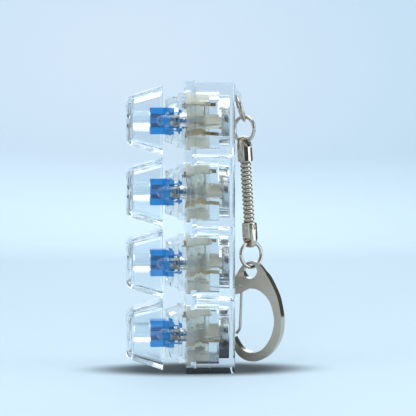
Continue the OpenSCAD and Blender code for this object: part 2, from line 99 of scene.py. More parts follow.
bm = bmesh.new()
start = [bm.verts.new((0, 0, 0)), bm.verts.new((SWEEP_R - SWEEP_COVE, 0, 0))]
for k in range(1, 11):
    a = radians(9 * k)
    start.append(bm.verts.new((SWEEP_R - SWEEP_COVE + SWEEP_COVE * sin(a), 0, SWEEP_COVE * (1 - cos(a)))))
start.append(bm.verts.new((SWEEP_R, 0, SWEEP_TOP)))
rim = [bm.edges.new(pair) for pair in zip(start, start[1:])]
bmesh.ops.spin(bm, geom=start + rim, cent=(0, 0, 0), axis=(0, 0, 1), angle=2 * pi, steps=72,
               use_merge=True)
bmesh.ops.remove_doubles(bm, verts=bm.verts, dist=1e-6)
bmesh.ops.recalc_face_normals(bm, faces=bm.faces)
for f in bm.faces:
    f.smooth = True
sweep_mesh = bpy.data.meshes.new("sweep")
bm.to_mesh(sweep_mesh)
bm.free()
sweep = bpy.data.objects.new("sweep", sweep_mesh)
bpy.context.scene.collection.objects.link(sweep)

# matt paper with painted light: a painted pool of light makes it palest on the wall behind the object
# and deeper blue away from it, and a painted shadow darkens it close round the object's foot
paper, tree, out = new_material("pale_blue_sweep_paper")
where = add(tree, "ShaderNodeTexCoord")
offset = add(tree, "ShaderNodeMapping", links={"Vector": where.outputs["Object"]},
             Location=(0.02, -1.05, -0.06))
spread = add(tree, "ShaderNodeVectorMath", {"operation": "LENGTH"}, {0: offset.outputs[0]})
# painted pool of light: the paper's colour is palest near a point on the wall behind the object and deeper
# blue with distance from it
painted_light_pool = add(tree, "ShaderNodeValToRGB", links={"Fac": spread.outputs["Value"]})
painted_light_pool.color_ramp.elements[0].position, painted_light_pool.color_ramp.elements[0].color = 0.0, linear("#edf0f7")
painted_light_pool.color_ramp.elements[1].position, painted_light_pool.color_ramp.elements[1].color = 0.3, linear("#d3e4ef")
last = painted_light_pool.color_ramp.elements.new(0.62)
last.color = linear("#b8cad5")
# painted shadow: the paper's colour is darkened in a soft ellipse round the object's foot, down to a tenth at
# its middle
foot = add(tree, "ShaderNodeMapping", links={"Vector": where.outputs["Object"]},
           Location=(0.06, 0.0, 0.0), Scale=(1 / 0.036, 1 / 0.017, 1 / 0.02))
from_foot = add(tree, "ShaderNodeVectorMath", {"operation": "LENGTH"}, {0: foot.outputs[0]})
painted_foot_shadow = add(tree, "ShaderNodeMapRange", {"interpolation_type": "SMOOTHERSTEP"},
             {"Value": from_foot.outputs["Value"]},
             From_Min=0.4, From_Max=1.1, To_Min=0.1, To_Max=1.0)
paper_with_painted_shadow = add(tree, "ShaderNodeVectorMath", {"operation": "SCALE"},
             {0: painted_light_pool.outputs[0], "Scale": painted_foot_shadow.outputs[0]})
matt = add(tree, "ShaderNodeBsdfPrincipled", links={"Base Color": paper_with_painted_shadow.outputs[0]}, Roughness=0.9)
tree.links.new(matt.outputs[0], out.inputs["Surface"])
sweep_mesh.materials.append(paper)

world = bpy.data.worlds.new("soft_room")
world.use_nodes = True
world.node_tree.nodes["Background"].inputs["Color"].default_value = linear("#f3f5f7")
world.node_tree.nodes["Background"].inputs["Strength"].default_value = 0.74
bpy.context.scene.world = world

for name, place, wide, tall, power in (
        ("left_softbox", (-0.62, -0.35, 0.42), 0.55, 0.55, 1.9),
        ("top_softbox", (0.05, 0.05, 0.95), 0.9, 0.9, 4.2),
        ("right_softbox", (0.5, -0.2, 0.2), 0.3, 0.5, 1.2),
        ("back_softbox", (0.05, 0.62, 0.4), 0.5, 0.5, 1.1),
        ("front_softbox", (-0.1, -0.85, 0.5), 0.5, 0.4, 5.0)):
    lamp = bpy.data.lights.new(name, "AREA")
    lamp.shape, lamp.size, lamp.size_y, lamp.energy = "RECTANGLE", wide, tall, power
    lamp_object = bpy.data.objects.new(name, lamp)
    towards = (Vector(place) - Vector((0, 0, 0.04))).to_track_quat("Z", "Y").to_matrix().to_4x4()
    lamp_object.matrix_world = Matrix.Translation(place) @ towards
    lamp_object.visible_camera = False
    # the front one only lifts the coloured parts, and stays out of every reflection
    lamp_object.visible_glossy = lamp_object.visible_transmission = name != "front_softbox"
    bpy.context.scene.collection.objects.link(lamp_object)


def flag(name, grey, turns, away, low, high):
    """A card beside the object, out of view, that polished metal and clear edges pick up as a darker band."""
    card_grey, tree, out = new_material(f"{name}_paper")
    matt = add(tree, "ShaderNodeBsdfPrincipled", Base_Color=linear(grey), Roughness=0.9)
    tree.links.new(matt.outputs[0], out.inputs["Surface"])
    bm = bmesh.new()
    # turns are degrees round from the lens, towards the clip
    ends = [Vector((away * sin(radians(a)), -away * cos(radians(a)), 0)) for a in turns]
    corners = zip((*ends, *reversed(ends)), (low, low, high, high))
    bm.faces.new([bm.verts.new((*end.xy, z)) for end, z in corners])
    card_mesh = bpy.data.meshes.new(name)
    bm.to_mesh(card_mesh)
    bm.free()
    card = bpy.data.objects.new(name, card_mesh)
    card_mesh.materials.append(card_grey)
    bpy.context.scene.collection.objects.link(card)
    card.visible_camera = card.visible_shadow = card.visible_diffuse = False


flag("lens_flag", "#3b3733", (-16, 44), 0.7, 0.0, 0.42)
flag("left_flag", "#a39c95", (-118, -22), 0.42, 0.0, 0.3)
flag("far_right_flag", "#4a4540", (100, 146), 0.5, 0.0, 0.3)

# a short telephoto, almost square on to the side of the case
camera_data = bpy.data.cameras.new("camera")
camera_data.lens, camera_data.sensor_width = 137.7, 36.0
camera_data.clip_start, camera_data.clip_end = 0.02, 10.0
camera = bpy.data.objects.new("camera", camera_data)
lens_at, aim_at = Vector((-0.0228, -0.4294, 0.0586)), Vector((-0.00026, 0.0, 0.0437))
aimed = (lens_at - aim_at).to_track_quat("Z", "Y").to_matrix().to_4x4()
camera.matrix_world = Matrix.Translation(lens_at) @ aimed
bpy.context.scene.collection.objects.link(camera)
bpy.context.scene.camera = camera
bpy.context.scene.view_settings.view_transform = "Standard"
# clear walls stand one behind another here, so light is followed through all of them
bpy.context.scene.cycles.max_bounces = 40
bpy.context.scene.cycles.transmission_bounces = 40
bpy.context.scene.cycles.glossy_bounces = 40
bpy.context.scene.cycles.transparent_max_bounces = 40

# ------------------------------------------------------------------ clear case
# The long case is two mouldings of clear styrene, a tray with a cell for each switch and a
# plate that closes it, glued round the rim. Polished moulds leave it glossy, with small round edges.


def through_lamps(tree, out, shader, tint):
    """Lets lamp light through a clear wall without bending it, so that what is inside stays lit."""
    path = add(tree, "ShaderNodeLightPath")
    passed = add(tree, "ShaderNodeBsdfTransparent", Color=tint)
    both = add(tree, "ShaderNodeMixShader", links={0: path.outputs["Is Shadow Ray"], 1: shader.outputs[0],
                                                   2: passed.outputs[0]})
    tree.links.new(both.outputs[0], out.inputs["Surface"])


def clear_plastic(name, tint, ior, wave_mm, wave_depth, rough=0.015):
    """Polished clear plastic, with the slow surface wave that a moulding keeps as it cools."""
    made, tree, out = new_material(name)
    where = add(tree, "ShaderNodeTexCoord")
    wave = add(tree, "ShaderNodeTexNoise", links={"Vector": where.outputs["Object"]},
               Scale=1 / (wave_mm * MM), Detail=2.0, Roughness=0.45)
    bump = add(tree, "ShaderNodeBump", links={"Height": wave.outputs["Fac"]}, Strength=1.0,
               Distance=wave_depth * MM)
    # handling leaves the gloss a little uneven, in patches some 9 mm across
    smears = add(tree, "ShaderNodeTexNoise", links={"Vector": where.outputs["Object"]},
                 Scale=110.0, Detail=4.0)
    gloss = add(tree, "ShaderNodeMapRange", links={"Value": smears.outputs["Fac"]},
                From_Min=0.35, From_Max=0.75, To_Min=rough, To_Max=rough + 0.035)
    plastic = add(tree, "ShaderNodeBsdfPrincipled",
                  links={"Normal": bump.outputs[0], "Roughness": gloss.outputs[0]},
                  Base_Color=tint, IOR=ior, Transmission_Weight=1.0)
    through_lamps(tree, out, plastic, tint)
    return made


def copy_of(node):
    """A part of the frame as a clean mesh: its triangles joined, and flat faces made whole again."""
    bm = bmesh.new()
    bm.from_mesh(frame["nodes"][node].data)
    bmesh.ops.remove_doubles(bm, verts=bm.verts, dist=1e-6)
    bmesh.ops.dissolve_limit(bm, angle_limit=radians(0.5), verts=bm.verts, edges=bm.edges)
    return bm


def place(bm, name, body, material, stands_for, slot, round_mm=0, steps=2, sharp=32):
    """Makes a finished piece of a mesh in metres: round edges, smooth shading, material and frame calls."""
    bmesh.ops.recalc_face_normals(bm, faces=bm.faces)
    for f in bm.faces:
        f.smooth = True
    mesh = bpy.data.meshes.new(name)
    bm.to_mesh(mesh)
    bm.free()
    mesh.set_sharp_from_angle(angle=radians(sharp))
    made = bpy.data.objects.new(name, mesh)
    bpy.context.scene.collection.objects.link(made)
    mesh.materials.append(material)
    if round_mm:
        soft = made.modifiers.new("round_edges", "BEVEL")
        soft.width, soft.segments = round_mm * MM, steps
        soft.limit_method, soft.angle_limit = "ANGLE", radians(sharp)
        soft.harden_normals = True
    if body:
        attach(made, body)
    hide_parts(*([stands_for] if isinstance(stands_for, str) else stands_for))
    return made


KEYS = sorted(int(n.rsplit("_", 1)[1]) for n in frame["nodes"] if n.startswith("keycap_"))
case_plastic = clear_plastic("clear_polystyrene_moulding", linear("#f3f8fb"), 1.55, 5.0, 0.01)


def joined(bm, tool, operation="DIFFERENCE"):
    """One mesh cut with, joined to or kept where it meets another; both are used up."""
    held = []
    for part in (bm, tool):
        bmesh.ops.recalc_face_normals(part, faces=part.faces)
        mesh = bpy.data.meshes.new("held")
        part.to_mesh(mesh)
        part.free()
        held.append(bpy.data.objects.new("held", mesh))
        bpy.context.scene.collection.objects.link(held[-1])
    knife = held[0].modifiers.new("knife", "BOOLEAN")
    knife.object, knife.operation, knife.solver = held[1], operation, "EXACT"
    made = bmesh.new()
    made.from_object(held[0], bpy.context.evaluated_depsgraph_get())
    for item in held:
        old = item.data
        bpy.data.objects.remove(item)
        bpy.data.meshes.remove(old)
    bmesh.ops.remove_doubles(made, verts=made.verts, dist=1e-5)
    bmesh.ops.dissolve_degenerate(made, edges=made.edges, dist=1e-5)
    return made


def in_mm(node):
    """A part of the frame as a clean mesh in millimetres, in the frame's own place."""
    bm = copy_of(node)
    bmesh.ops.scale(bm, verts=bm.verts, vec=(1 / MM, 1 / MM, 1 / MM))
    return bm


# solvent runs right through the joint between tray and plate, so light crosses it as if they were one
shell = joined(in_mm("rear_case"), in_mm("front_plate"), "UNION")
bmesh.ops.dissolve_limit(shell, angle_limit=radians(0.5), verts=shell.verts, edges=shell.edges)
bmesh.ops.scale(shell, verts=shell.verts, vec=(MM, MM, MM))
place(shell, "welded_case", "case", case_plastic, ("rear_case", "front_plate"), "clear_case", round_mm=0.2)

# ------------------------------------------------------------------ keycaps
# Each keycap is one thin moulding in clear ABS: a tapered shell with soft corners, a dished top
# for the fingertip, and a round post inside whose cross-shaped socket grips the switch's stem.


def at_key(i):
    """From a switch's own millimetres, z out of the case and x up the row, to its place on the case."""
    low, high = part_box(f"lower_housing_{i}")
    seat_x = low[0] + 0.9 * MM
    return Matrix(((0, 0, -MM, seat_x), (0, MM, 0, 0), (MM, 0, 0, (low[2] + high[2]) / 2), (0, 0, 0, 1)))


def block(low, high):
    bm = bmesh.new()
    bmesh.ops.create_cube(bm, size=1)
    low, high = Vector(low), Vector(high)
    bmesh.ops.transform(bm, verts=bm.verts, matrix=Matrix.Translation((low + high) / 2)
                        @ Matrix.Diagonal((*(high - low), 1)))
    return bm


def rod(radius, low, high, at=(0, 0), steps=40):
    bm = bmesh.new()
    bmesh.ops.create_cone(bm, cap_ends=True, segments=steps, radius1=radius, radius2=radius, depth=high - low)
    bmesh.ops.translate(bm, verts=bm.verts, vec=(*at, (low + high) / 2))
    return bm


def cap_shell(width, top_x, top_y, low, high, corner, brow):
    """A tapered block with round corners up its sides and a round brow at the top."""
    bm = block((-width / 2, -width / 2, low), (width / 2, width / 2, high))
    for v in bm.verts:
        if v.co.z > low + 0.1:
            v.co.x *= top_x / width
            v.co.y *= top_y / width
    sides = [e for e in bm.edges if abs(e.verts[0].co.z - e.verts[1].co.z) > 1]
    bmesh.ops.bevel(bm, geom=sides, offset=corner, segments=6, profile=0.5, affect="EDGES", material=-1)
    top = [e for e in bm.edges if all(v.co.z > high - 0.01 for v in e.verts)]
    bmesh.ops.bevel(bm, geom=top, offset=brow, segments=6, profile=0.5, affect="EDGES", material=-1,
                    clamp_overlap=True)
    return bm


CAP_W, CAP_LOW, CAP_HIGH, CAP_WALL, CAP_TOP = 18.5, 7.4, 17.4, 1.5, 1.9
SOCKET_LOW, STEM_TOP, POST_R, DISH_R = 7.1, 10.4, 2.75, 43.6

cap = cap_shell(CAP_W, 12.4, 13.2, CAP_LOW, CAP_HIGH, 1.7, 1.6)
dish = rod(DISH_R, -12, 12, steps=240)
bmesh.ops.rotate(dish, verts=dish.verts, cent=(0, 0, 0), matrix=Matrix.Rotation(pi / 2, 3, "X"))
bmesh.ops.translate(dish, verts=dish.verts, vec=(0, 0, CAP_HIGH - 0.5 + DISH_R))
cap = joined(cap, dish)
cap = joined(cap, cap_shell(CAP_W - 2 * CAP_WALL, 10.9, 11.6, CAP_LOW - 0.01, CAP_HIGH - CAP_TOP, 1.0, 0.8))
post = rod(POST_R, SOCKET_LOW, CAP_HIGH - CAP_TOP + 0.3)
for across in (Vector((2.05, 0.62, 0)), Vector((0.62, 2.05, 0))):
    post = joined(post, block(-across + Vector((0, 0, 6)), across + Vector((0, 0, STEM_TOP + 0.2))))
cap = joined(cap, post, "UNION")
# three shallow ribs stiffen the roof between the post and the walls
for x0, y0, x1, y1 in ((2.6, -0.35, 6.2, 0.35), (-6.2, -0.35, -2.6, 0.35), (-0.35, 2.6, 0.35, 6.2)):
    rib = block((x0, y0, CAP_HIGH - CAP_TOP - 0.9), (x1, y1, CAP_HIGH - CAP_TOP + 0.2))
    cap = joined(cap, rib, "UNION")

cap_plastic = clear_plastic("clear_abs_keycap", linear("#f7fbfd"), 1.53, 6.0, 0.01, rough=0.01)
for i in KEYS:
    bm = cap.copy()
    bmesh.ops.transform(bm, verts=bm.verts, matrix=at_key(i))
    place(bm, f"cap_{i}", f"key_{i}", cap_plastic, f"keycap_{i}", "clear_cap", round_mm=0.16, sharp=38)
cap.free()

# ------------------------------------------------------------------ switch housings
# Each switch shuts in two halves: a clear lid over a milky nylon base. The lid has clip windows in
# its sides and a slot for the light; the base snaps into the plate with two small barbs.

lid_plastic = clear_plastic("clear_polycarbonate_lid", linear("#f4f7f8"), 1.58, 3.0, 0.004)

# uncoloured nylon is clear where it is thin, and turns milky in the thick shoulders either side
milky, tree, out = new_material("milky_nylon_base")
where = add(tree, "ShaderNodeTexCoord")
first, pitch = at_key(1).translation.z, (at_key(1).translation.z - at_key(2).translation.z)
height = add(tree, "ShaderNodeSeparateXYZ", links={"Vector": where.outputs["Object"]})
from_first = add(tree, "ShaderNodeMath", {"operation": "SUBTRACT"}, {0: height.outputs["Z"]})
from_first.inputs[1].default_value = first
from_key = add(tree, "ShaderNodeMath", {"operation": "PINGPONG"}, {0: from_first.outputs[0]})
from_key.inputs[1].default_value = pitch / 2
cloud = add(tree, "ShaderNodeTexNoise", links={"Vector": where.outputs["Object"]}, Scale=260.0, Detail=3.0)
shade = add(tree, "ShaderNodeMixRGB", links={"Fac": cloud.outputs["Fac"]},
            Color1=linear("#fbf9f2"), Color2=linear("#f0ede3"))
milk = add(tree, "ShaderNodeMapRange", {"interpolation_type": "SMOOTHSTEP"}, {"Value": from_key.outputs[0]},
           From_Min=4.0 * MM, From_Max=5.4 * MM, To_Min=0.08, To_Max=0.6)
# the tube round the spring is milky too, and the solid locating post behind it more so
near_axis = add(tree, "ShaderNodeMapRange", links={"Value": from_key.outputs[0]},
                From_Min=1.9 * MM, From_Max=2.3 * MM, To_Min=1.0, To_Max=0.0)
seat_x = at_key(1).translation.x
behind = add(tree, "ShaderNodeMapRange", links={"Value": height.outputs["X"]},
             From_Min=seat_x + 4.0 * MM, From_Max=seat_x + 4.6 * MM, To_Min=0.28, To_Max=0.45)
post_milk = add(tree, "ShaderNodeMath", {"operation": "MULTIPLY"},
                {0: near_axis.outputs[0], 1: behind.outputs[0]})
milk_all = add(tree, "ShaderNodeMath", {"operation": "ADD"}, {0: post_milk.outputs[0], 1: milk.outputs[0]})
grain = add(tree, "ShaderNodeTexNoise", links={"Vector": where.outputs["Object"]}, Scale=2600.0, Detail=2.0)
skin = add(tree, "ShaderNodeBump", links={"Height": grain.outputs["Fac"]}, Strength=0.3,
           Distance=0.006 * MM)
nylon = add(tree, "ShaderNodeBsdfPrincipled",
            links={"Base Color": shade.outputs[0], "Normal": skin.outputs[0]},
            IOR=1.4, Roughness=0.06, Transmission_Weight=1.0)
haze = add(tree, "ShaderNodeBsdfTranslucent", links={"Color": shade.outputs[0]})
body = add(tree, "ShaderNodeMixShader",
           links={0: milk_all.outputs[0], 1: nylon.outputs[0], 2: haze.outputs[0]})
through_lamps(tree, out, body, linear("#f6f4ee"))

lid = copy_of("upper_housing_1")
bmesh.ops.transform(lid, verts=lid.verts, matrix=at_key(1).inverted())
lid = joined(lid, block((-2.0, 6.9, 4.1), (2.0, 5.2, 6.2)))
base = copy_of("lower_housing_1")
bmesh.ops.transform(base, verts=base.verts, matrix=at_key(1).inverted())
for side in (-1, 1):
    barb = block((side * 6.9 - 0.12, -2.0, -2.4), (side * 6.9 + 0.12, 2.0, -1.7))
    for v in barb.verts:
        if v.co.z < -2 and abs(v.co.x) > 6.9:
            v.co.x = side * 6.94
    base = joined(base, barb, "UNION")
    # two shallow slots beside each barb let it give as the switch snaps in
    for from_y, to_y in ((2.6, 4.2), (-4.2, -2.6)):
        base = joined(base, block((side * 6.95 - 0.25, from_y, -4.2), (side * 6.95 + 0.25, to_y, -0.4)))
for i in KEYS:
    for shape, name, node, material, slot, soft in (
            (lid, "lid", "upper_housing", lid_plastic, "clear_housing", 0.16),
            (base, "base", "lower_housing", milky, "milky_housing", 0.1)):
        bm = shape.copy()
        bmesh.ops.transform(bm, verts=bm.verts, matrix=at_key(i))
        place(bm, f"switch_{name}_{i}", "case", material, f"{node}_{i}", slot, round_mm=soft)
lid.free()
base.free()

# ------------------------------------------------------------------ stems
# The stem is moulded in blue acetal: a box collar round the cross that holds the keycap, with lugs
# that stop it under the lid and a small cam that flicks the click bar.

blue, tree, out = new_material("blue_acetal_stem")
where = add(tree, "ShaderNodeTexCoord")
cloud = add(tree, "ShaderNodeTexNoise", links={"Vector": where.outputs["Object"]}, Scale=420.0, Detail=2.0)
shade = add(tree, "ShaderNodeMixRGB", links={"Fac": cloud.outputs["Fac"]},
            Color1=linear("#0084d2"), Color2=linear("#0078c4"))
grain = add(tree, "ShaderNodeTexNoise", links={"Vector": where.outputs["Object"]}, Scale=3000.0)
skin = add(tree, "ShaderNodeBump", links={"Height": grain.outputs["Fac"]}, Strength=0.4, Distance=0.008 * MM)
acetal = add(tree, "ShaderNodeBsdfPrincipled",
             links={"Base Color": shade.outputs[0], "Normal": skin.outputs[0]},
             IOR=1.48, Roughness=0.4, Specular_IOR_Level=0.3)
tree.links.new(acetal.outputs[0], out.inputs["Surface"])

for i in KEYS:
    place(copy_of(f"stem_{i}"), f"blue_stem_{i}", f"key_{i}", blue, f"stem_{i}", "blue_stem", round_mm=0.13)

# ------------------------------------------------------------------ lights
# A 3 mm light sits in each switch's slot: a clear epoxy bullet cast round a steel lead frame.
# Its tinned legs run through the base, one straight down to the cell and one bent to a pin.

LED_Y, LED_LOW, LED_LEN, LEG = -5.08, 3.45, 5.3, 0.46

epoxy = clear_plastic("clear_epoxy_light", linear("#fbfbf8"), 1.5, 1.2, 0.006, rough=0.01)


def lathe(outline, steps):
    """A round solid turned from half its outline, given as (radius, height) pairs in millimetres."""
    bm = bmesh.new()
    line = [bm.verts.new((x, 0, z)) for x, z in outline]
    edges = [bm.edges.new(pair) for pair in zip(line, line[1:])]
    bmesh.ops.spin(bm, geom=line + edges, cent=(0, 0, 0), axis=(0, 0, 1), angle=2 * pi, steps=steps,
                   use_merge=True)
    bmesh.ops.remove_doubles(bm, verts=bm.verts, dist=1e-4)
    return bm


BULB_R = 1.5
outline = [(0, 0), (1.9, 0), (1.9, 0.85), (1.86, 0.95), (BULB_R, 1.0)]
outline += [(BULB_R * cos(radians(a)), LED_LEN - BULB_R + BULB_R * sin(radians(a))) for a in range(0, 90, 10)]
outline.append((0, LED_LEN))
bm = lathe(outline, 40)
# one side of the flange is flat, to show which leg is which
bullet = joined(bm, block((-2.2, -2.0, -0.1), (-1.62, 2.0, 1.02)))
bullet = joined(bullet, block((0.55, -0.3, -0.1), (1.27, 0.3, 2.6)))
bullet = joined(bullet, block((-1.27, -0.35, -0.1), (0.3, 0.35, 2.2)))
bmesh.ops.translate(bullet, verts=bullet.verts, vec=(0, LED_Y, LED_LOW))


def metal(name, colours, rough, grain_mm, depth_mm, satin_along=None):
    """Bare or plated metal: a colour that drifts a little, and fine marks in its surface."""
    made, tree, out = new_material(name)
    where = add(tree, "ShaderNodeTexCoord")
    marks = add(tree, "ShaderNodeTexNoise", links={"Vector": where.outputs["Object"]},
                Scale=1 / (grain_mm * MM), Detail=4.0, Roughness=0.6)
    patches = add(tree, "ShaderNodeTexNoise", links={"Vector": where.outputs["Object"]},
                  Scale=220.0, Detail=3.0)
    shade = add(tree, "ShaderNodeMixRGB", links={"Fac": patches.outputs["Fac"]},
                Color1=linear(colours[0]), Color2=linear(colours[1]))
    gloss = add(tree, "ShaderNodeMapRange", links={"Value": marks.outputs["Fac"]},
                From_Min=0.3, From_Max=0.7, To_Min=rough[0], To_Max=rough[1])
    bump = add(tree, "ShaderNodeBump", links={"Height": marks.outputs["Fac"]}, Strength=1.0,
               Distance=depth_mm * MM)
    finish = gloss
    if satin_along:
        # tumbling leaves the flat faces satin, and the buffing wheel polishes the edges
        facing = add(tree, "ShaderNodeVectorMath", {"operation": "DOT_PRODUCT"},
                     {0: where.outputs["Normal"]})
        facing.inputs[1].default_value = satin_along
        square_on = add(tree, "ShaderNodeMath", {"operation": "ABSOLUTE"}, {0: facing.outputs["Value"]})
        satin = add(tree, "ShaderNodeMapRange", links={"Value": square_on.outputs[0]},
                    From_Min=0.7, From_Max=0.97, To_Min=0.0, To_Max=0.3)
        finish = add(tree, "ShaderNodeMath", {"operation": "ADD"},
                     {0: gloss.outputs[0], 1: satin.outputs[0]})
    plate = add(tree, "ShaderNodeBsdfPrincipled", Metallic=1.0,
                links={"Base Color": shade.outputs[0], "Roughness": finish.outputs[0],
                       "Normal": bump.outputs[0]})
    tree.links.new(plate.outputs[0], out.inputs["Surface"])
    return made


tinned = metal("tinned_steel_leads", ("#cfcdc8", "#b9b7b2"), (0.22, 0.4), 0.3, 0.004)


def wire(points, radius, sides=2):
    """A wire along points in its own millimetres, as a closed mesh."""
    line = bpy.data.curves.new("wire", "CURVE")
    line.dimensions, line.use_fill_caps = "3D", True
    line.bevel_depth, line.bevel_resolution = radius, sides
    spline = line.splines.new("POLY")
    spline.points.add(len(points) - 1)
    for point, at in zip(spline.points, points):
        point.co = (*at, 1)
    held = bpy.data.objects.new("wire", line)
    bpy.context.scene.collection.objects.link(held)
    bm = bmesh.new()
    bm.from_mesh(held.evaluated_get(bpy.context.evaluated_depsgraph_get()).to_mesh())
    bpy.data.objects.remove(held)
    bpy.data.curves.remove(line)
    bmesh.ops.remove_doubles(bm, verts=bm.verts, dist=1e-5)
    return bm


def bent(points, r):
    """A path with its corners rounded to the bend radius that a lead takes."""
    path = [Vector(points[0])]
    for a, b, c in zip(points, points[1:], points[2:]):
        a, b, c = Vector(a), Vector(b), Vector(c)
        start, end = b + (a - b).normalized() * r, b + (c - b).normalized() * r
        path += [start.lerp(b, t).lerp(b.lerp(end, t), t) for t in (0, 0.2, 0.4, 0.6, 0.8, 1)]
    return path + [Vector(points[-1])]


def merged(*parts):
    """Loose pieces of one lead or one fitting, kept in a single mesh."""
    whole = parts[0]
    for part in parts[1:]:
        mesh = bpy.data.meshes.new("held")
        part.to_mesh(mesh)
        part.free()
        whole.from_mesh(mesh)
        bpy.data.meshes.remove(mesh)
    return whole


# inside the bullet: the cup that the chip sits in, on the longer plate, and the thin post beside it
cup = block((-1.25, LED_Y - 0.22, LED_LOW - 0.4), (-0.35, LED_Y + 0.22, LED_LOW + 1.1))
bowl = bmesh.new()
bmesh.ops.create_cone(bowl, cap_ends=True, segments=20, radius1=0.34, radius2=0.56, depth=0.8)
bmesh.ops.translate(bowl, verts=bowl.verts, vec=(-0.45, LED_Y, LED_LOW + 1.5))
post = block((0.6, LED_Y - 0.2, LED_LOW - 0.4), (1.25, LED_Y + 0.2, LED_LOW + 2.1))
for v in post.verts:
    if v.co.z > LED_LOW + 1 and v.co.x > 1:
        v.co.z -= 0.6
half = LEG / 2
straight = wire(bent([(-1.27, LED_Y, LED_LOW), (-1.27, LED_Y, -4.6), (-0.9, LED_Y - 0.35, -6.4),
                      (-0.9, LED_Y - 0.35, -8.2)], 0.5), half)
turned = wire(bent([(1.27, LED_Y, LED_LOW), (1.27, LED_Y, -3.8), (5.0, LED_Y, -3.8), (5.0, LED_Y, -5.4),
                    (5.0, 4.4, -5.4)], 0.45), half)
for i in KEYS:
    cup_leg = merged(cup.copy(), bowl.copy(), straight.copy())
    post_leg = merged(post.copy(), turned.copy())
    for shape, name, node in ((cup_leg, "straight_leg", "led_cathode"),
                              (post_leg, "bent_leg", "led_anode")):
        bmesh.ops.transform(shape, verts=shape.verts, matrix=at_key(i))
        place(shape, f"{name}_{i}", "case", tinned, f"{node}_{i}", "lead_wire", round_mm=0.03, sharp=50)
    bm = bullet.copy()
    bmesh.ops.transform(bm, verts=bm.verts, matrix=at_key(i))
    place(bm, f"light_bullet_{i}", "case", epoxy, f"led_lens_{i}", "led_epoxy", sharp=50)
for part in (bullet, cup, bowl, post, straight, turned):
    part.free()

# ------------------------------------------------------------------ springs, contacts and cells
# A steel spring under each stem brings the key back. Two gold-plated brass leaves sit behind it,
# and a steel coin cell with a crimped can lies in the round pocket at the back.

spring_steel = metal("spring_steel_wire", ("#bdbdbb", "#a3a3a2"), (0.18, 0.32), 0.25, 0.003)
TURNS, COIL_R, WIRE_R, COIL_LOW, COIL_TOP = 7, 1.88, 0.2, -3.73, 3.79
turns = []
for k in range(TURNS * 24 + 1):
    t = k / (TURNS * 24)
    # the last turn at each end is wound flat, so that the spring stands square
    rise = min(max((t * TURNS - 0.85) / (TURNS - 1.7), 0), 1)
    flat = 0.34 * (min(t * TURNS, 0.85) + max(t * TURNS - TURNS + 0.85, 0))
    turns.append((COIL_R * cos(2 * pi * TURNS * t), COIL_R * sin(2 * pi * TURNS * t),
                  COIL_LOW + flat + (COIL_TOP - COIL_LOW - 0.578) * rise))
spring = wire(turns, WIRE_R)
for i in KEYS:
    bm = spring.copy()
    bmesh.ops.transform(bm, verts=bm.verts, matrix=at_key(i))
    made = place(bm, f"spring_{i}", "case", spring_steel, f"return_spring_{i}", "spring_steel", sharp=60)
    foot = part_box(f"return_spring_{i}")[1]
    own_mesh(made)
spring.free()

# the click bar is a bent wire whose legs stand in the base
low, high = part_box("click_bar_1")
local = [at_key(1).inverted() @ Vector(c) for c in (low, high)]
BAR_R = 0.17
x, y = (local[0].x + local[1].x) / 2, abs(local[0].y) - BAR_R
bar_low, bar_top = sorted((local[0].z, local[1].z))
bar = wire(bent([(x, -y, bar_low), (x, -y, bar_top - BAR_R), (x, y, bar_top - BAR_R), (x, y, bar_low)], 0.4),
           BAR_R)
for i in KEYS:
    bm = bar.copy()
    bmesh.ops.transform(bm, verts=bm.verts, matrix=at_key(i))
    place(bm, f"click_wire_{i}", "case", spring_steel, f"click_bar_{i}", "spring_steel", sharp=60)
bar.free()

gold = metal("gold_plated_brass", ("#d3b98c", "#b59a72"), (0.16, 0.3), 0.3, 0.003)
for i in KEYS:
    for name in ("moving_contact", "fixed_contact"):
        place(copy_of(f"{name}_{i}"), f"{name}_leaf_{i}", "case", gold, f"{name}_{i}", "contact_brass",
              round_mm=0.05)

cell_steel = metal("nickel_plated_can", ("#d9d8d4", "#c4c3bf"), (0.2, 0.36), 0.5, 0.004)
gasket, tree, out = new_material("polypropylene_gasket")
where = add(tree, "ShaderNodeTexCoord")
cloud = add(tree, "ShaderNodeTexNoise", links={"Vector": where.outputs["Object"]}, Scale=900.0, Detail=3.0)
shade = add(tree, "ShaderNodeMixRGB", links={"Fac": cloud.outputs["Fac"]},
            Color1=linear("#e4e2da"), Color2=linear("#d2d0c8"))
seal = add(tree, "ShaderNodeBsdfPrincipled", links={"Base Color": shade.outputs[0]}, IOR=1.49, Roughness=0.4)
tree.links.new(seal.outputs[0], out.inputs["Surface"])
# from the middle of the can's back, round its edge and crimp, over the gasket to the middle of the lid
CELL = ((0, 0), (5.9, 0), (6.1, 0.05), (6.22, 0.16), (6.25, 0.3), (6.25, 1.45), (6.2, 1.62),
        (6.05, 1.76), (5.85, 1.82), (5.6, 1.78), (5.5, 1.68), (5.42, 1.62), (5.36, 1.7), (5.3, 1.9),
        (5.18, 1.98), (5.0, 2.0), (4.2, 2.0), (4.05, 1.96), (3.9, 2.0), (0, 2.0))
bm = lathe(CELL, 72)
for f in bm.faces:
    middle = f.calc_center_median()
    if 5.34 < middle.xy.length < 5.56 and middle.z > 1.4:
        f.material_index = 1
for i in KEYS:
    cell = bm.copy()
    bmesh.ops.transform(cell, verts=cell.verts, matrix=at_key(i) @ Matrix.Translation((0, 0, -10.3)))
    made = place(cell, f"coin_{i}", "case", cell_steel, f"coin_cell_{i}", "cell_steel", sharp=40)
    made.data.materials.append(gasket)
bm.free()

# ------------------------------------------------------------------ chain
# A short length of close-wound spring chain hangs from the ear on two split rings. Each end is
# pushed into a drawn sleeve and crimped; all of it is polished steel with a nickel plate.

nickel = metal("polished_nickel_plate", ("#d3c8ba", "#bbaf9f"), (0.07, 0.17), 0.35, 0.004)
HINGES = {j["name"]: j for j in frame["record"]["behaviour"]["joints"]}


def spot(hinge):
    return Vector(HINGES[hinge]["pos_m"]) / MM


